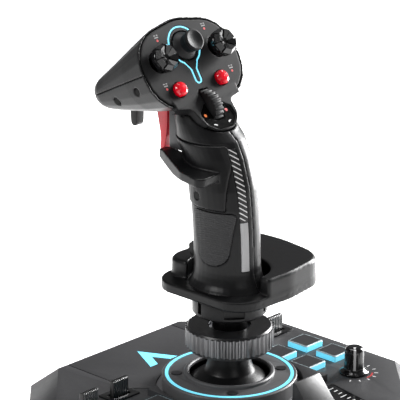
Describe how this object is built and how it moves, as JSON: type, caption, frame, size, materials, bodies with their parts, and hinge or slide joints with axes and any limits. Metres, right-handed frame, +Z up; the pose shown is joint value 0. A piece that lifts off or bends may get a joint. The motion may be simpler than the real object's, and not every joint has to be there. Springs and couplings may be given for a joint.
{
  "type": "flight joystick",
  "caption": "Desk flight joystick: contoured grip with a thumb face, trigger and hand rest, on a sprung two-axis gimbal in an eight-sided base with keys, toggles, knobs and throttle.",
  "frame": {"origin": "centre of the base on the surface it stands on", "axes": "+X to the pilot's right, +Y away from the pilot, +Z up along the upright stick"},
  "size_m": [0.224, 0.216, 0.2703],
  "materials": {
    "black_plastic": "satin",
    "deck_plastic": "satin",
    "grey_plastic": "satin",
    "gloss_black": "gloss",
    "soft_black": "matt",
    "light_guide": "gloss",
    "nut_metal": "satin",
    "steel": "satin",
    "spring_steel": "gloss",
    "zinc": "satin",
    "brass": "satin",
    "board": "satin",
    "pot_blue": "satin",
    "strip_grey": "satin",
    "red_plastic": "gloss"
  },
  "bodies": {
    "base": {"top_cover": "deck_plastic", "bottom_cover": "black_plastic", "rubber_feet": "soft_black", "base_screws": "steel", "mount_inserts": "brass", "usb_socket": "steel", "stick_surround": "grey_plastic", "light_guides": "light_guide", "toggle_frames": "gloss_black", "gimbal_frame": "zinc", "pitch_springs": "spring_steel", "main_board": "board", "scale_panels": "gloss_black", "knob_pots": "pot_blue"},
    "gimbal": {"gimbal_ring": "zinc", "roll_springs": "spring_steel"},
    "stick": {"stick_shaft": "zinc", "dome_cover": "gloss_black"},
    "nut": {"locking_nut": "nut_metal"},
    "grip": {"grip_foot": "black_plastic", "handle_left": "black_plastic", "handle_right": "black_plastic", "hand_rest": "black_plastic", "side_module": "black_plastic", "grip_pad": "soft_black", "back_strip": "strip_grey", "head_upper": "black_plastic", "head_lower": "black_plastic", "face_plate": "black_plastic", "face_light": "light_guide", "grip_screws": "steel", "trigger_housing": "grey_plastic", "grip_board": "board"},
    "trigger": {"trigger": "red_plastic"},
    "flip_lever": {"flip_lever": "black_plastic"},
    "pinky_lever": {"pinky_lever": "black_plastic"},
    "left_hat_ring": {"left_hat_ring": "grey_plastic"},
    "left_hat": {"left_hat": "gloss_black"},
    "right_hat_ring": {"right_hat_ring": "grey_plastic"},
    "right_hat": {"right_hat": "gloss_black"},
    "thumb_stick_ring": {"thumb_stick_ring": "grey_plastic"},
    "thumb_stick": {"thumb_stick": "soft_black"},
    "left_button": {"left_button": "red_plastic"},
    "right_button": {"right_button": "red_plastic"},
    "scroll_wheel": {"scroll_wheel": "soft_black"},
    "knob_left": {"knob_left": "gloss_black"},
    "knob_right": {"knob_right": "gloss_black"},
    "throttle": {"throttle_lever": "grey_plastic"},
    "key_1": {"key_1": "gloss_black"},
    "key_2": {"key_2": "gloss_black"},
    "key_3": {"key_3": "gloss_black"},
    "key_4": {"key_4": "gloss_black"},
    "key_5": {"key_5": "gloss_black"},
    "key_6": {"key_6": "gloss_black"},
    "key_7": {"key_7": "gloss_black"},
    "key_8": {"key_8": "gloss_black"},
    "toggle_1": {"toggle_1": "gloss_black"},
    "toggle_2": {"toggle_2": "gloss_black"},
    "toggle_3": {"toggle_3": "gloss_black"},
    "toggle_4": {"toggle_4": "gloss_black"}
  },
  "joints": [
    {"name": "stick_pitch", "type": "hinge", "parent": "base", "child": "gimbal", "pos_m": [0, 0, 0.034], "axis": [1, 0, 0], "range_deg": [-12, 12], "stiffness_Nm_per_rad": 8},
    {"name": "stick_roll", "type": "hinge", "parent": "gimbal", "child": "stick", "pos_m": [0, 0, 0.034], "axis": [0, 1, 0], "range_deg": [-12, 12], "stiffness_Nm_per_rad": 8},
    {"name": "stick_twist", "type": "hinge", "parent": "stick", "child": "grip", "pos_m": [0, 0, 0.1], "axis": [0, 0, 1], "range_deg": [-20, 20], "stiffness_Nm_per_rad": 1.5},
    {"name": "nut_turn", "type": "hinge", "parent": "stick", "child": "nut", "pos_m": [0, 0, 0.088], "axis": [0, 0, 1], "continuous": true},
    {"name": "trigger_pull", "type": "hinge", "parent": "grip", "child": "trigger", "pos_m": [0, 0.046, 0.224], "axis": [-1, 0, 0], "range_deg": [0, 8], "stiffness_Nm_per_rad": 0.5},
    {"name": "flip_lever_swing", "type": "hinge", "parent": "grip", "child": "flip_lever", "pos_m": [0, 0.0745, 0.22], "axis": [1, 0, 0], "range_deg": [-12, 12], "stiffness_Nm_per_rad": 0.1},
    {"name": "pinky_press", "type": "hinge", "parent": "grip", "child": "pinky_lever", "pos_m": [0, 0.0185, 0.14], "axis": [-1, 0, 0], "range_deg": [0, 7], "stiffness_Nm_per_rad": 0.2},
    {"name": "left_hat_up_down", "type": "hinge", "parent": "grip", "child": "left_hat_ring", "pos_m": [-0.024, 0.03745, 0.24849], "axis": [1, 0, 0], "range_deg": [-8, 8], "stiffness_Nm_per_rad": 0.05},
    {"name": "left_hat_side", "type": "hinge", "parent": "left_hat_ring", "child": "left_hat", "pos_m": [-0.024, 0.03745, 0.24849], "axis": [0, 0.5299, 0.848], "range_deg": [-8, 8], "stiffness_Nm_per_rad": 0.05},
    {"name": "right_hat_up_down", "type": "hinge", "parent": "grip", "child": "right_hat_ring", "pos_m": [0.024, 0.03745, 0.24849], "axis": [1, 0, 0], "range_deg": [-8, 8], "stiffness_Nm_per_rad": 0.05},
    {"name": "right_hat_side", "type": "hinge", "parent": "right_hat_ring", "child": "right_hat", "pos_m": [0.024, 0.03745, 0.24849], "axis": [0, 0.5299, 0.848], "range_deg": [-8, 8], "stiffness_Nm_per_rad": 0.05},
    {"name": "thumb_stick_up_down", "type": "hinge", "parent": "grip", "child": "thumb_stick_ring", "pos_m": [0, 0.04021, 0.25289], "axis": [1, 0, 0], "range_deg": [-10, 10], "stiffness_Nm_per_rad": 0.05},
    {"name": "thumb_stick_side", "type": "hinge", "parent": "thumb_stick_ring", "child": "thumb_stick", "pos_m": [0, 0.04021, 0.25289], "axis": [0, 0.5299, 0.848], "range_deg": [-10, 10], "stiffness_Nm_per_rad": 0.05},
    {"name": "left_button_press", "type": "slide", "parent": "grip", "child": "left_button", "axis": [0, 0.848, -0.5299], "range_m": [0, 0.0015], "stiffness_N_per_m": 300},
    {"name": "right_button_press", "type": "slide", "parent": "grip", "child": "right_button", "axis": [0, 0.848, -0.5299], "range_m": [0, 0.0015], "stiffness_N_per_m": 300},
    {"name": "wheel_scroll", "type": "hinge", "parent": "grip", "child": "scroll_wheel", "pos_m": [0, 0.0188, 0.22146], "axis": [1, 0, 0], "continuous": true},
    {"name": "key_1_press", "type": "slide", "parent": "base", "child": "key_1", "axis": [0, 0, -1], "range_m": [0, 0.0015], "stiffness_N_per_m": 400},
    {"name": "key_2_press", "type": "slide", "parent": "base", "child": "key_2", "axis": [0, 0, -1], "range_m": [0, 0.0015], "stiffness_N_per_m": 400},
    {"name": "key_3_press", "type": "slide", "parent": "base", "child": "key_3", "axis": [0, 0, -1], "range_m": [0, 0.0015], "stiffness_N_per_m": 400},
    {"name": "key_4_press", "type": "slide", "parent": "base", "child": "key_4", "axis": [0, 0, -1], "range_m": [0, 0.0015], "stiffness_N_per_m": 400},
    {"name": "key_5_press", "type": "slide", "parent": "base", "child": "key_5", "axis": [0, 0, -1], "range_m": [0, 0.0015], "stiffness_N_per_m": 400},
    {"name": "key_6_press", "type": "slide", "parent": "base", "child": "key_6", "axis": [0, 0, -1], "range_m": [0, 0.0015], "stiffness_N_per_m": 400},
    {"name": "key_7_press", "type": "slide", "parent": "base", "child": "key_7", "axis": [0, 0, -1], "range_m": [0, 0.0015], "stiffness_N_per_m": 400},
    {"name": "key_8_press", "type": "slide", "parent": "base", "child": "key_8", "axis": [0, 0, -1], "range_m": [0, 0.0015], "stiffness_N_per_m": 400},
    {"name": "toggle_1_flip", "type": "hinge", "parent": "base", "child": "toggle_1", "pos_m": [-0.08, 0.036, 0.051], "axis": [1, 0, 0], "range_deg": [-15, 15], "stiffness_Nm_per_rad": 0.1},
    {"name": "toggle_2_flip", "type": "hinge", "parent": "base", "child": "toggle_2", "pos_m": [-0.0555, 0.036, 0.051], "axis": [1, 0, 0], "range_deg": [-15, 15], "stiffness_Nm_per_rad": 0.1},
    {"name": "toggle_3_flip", "type": "hinge", "parent": "base", "child": "toggle_3", "pos_m": [0.0555, 0.036, 0.051], "axis": [1, 0, 0], "range_deg": [-15, 15], "stiffness_Nm_per_rad": 0.1},
    {"name": "toggle_4_flip", "type": "hinge", "parent": "base", "child": "toggle_4", "pos_m": [0.08, 0.036, 0.051], "axis": [1, 0, 0], "range_deg": [-15, 15], "stiffness_Nm_per_rad": 0.1},
    {"name": "knob_left_turn", "type": "hinge", "parent": "base", "child": "knob_left", "pos_m": [-0.0645, -0.0415, 0.06], "axis": [0, 0, 1], "range_deg": [-135, 135]},
    {"name": "knob_right_turn", "type": "hinge", "parent": "base", "child": "knob_right", "pos_m": [0.0645, -0.0415, 0.06], "axis": [0, 0, 1], "range_deg": [-135, 135]},
    {"name": "throttle_swing", "type": "hinge", "parent": "base", "child": "throttle", "pos_m": [0, -0.066, 0.03], "axis": [1, 0, 0], "range_deg": [-18, 18]}
  ]
}
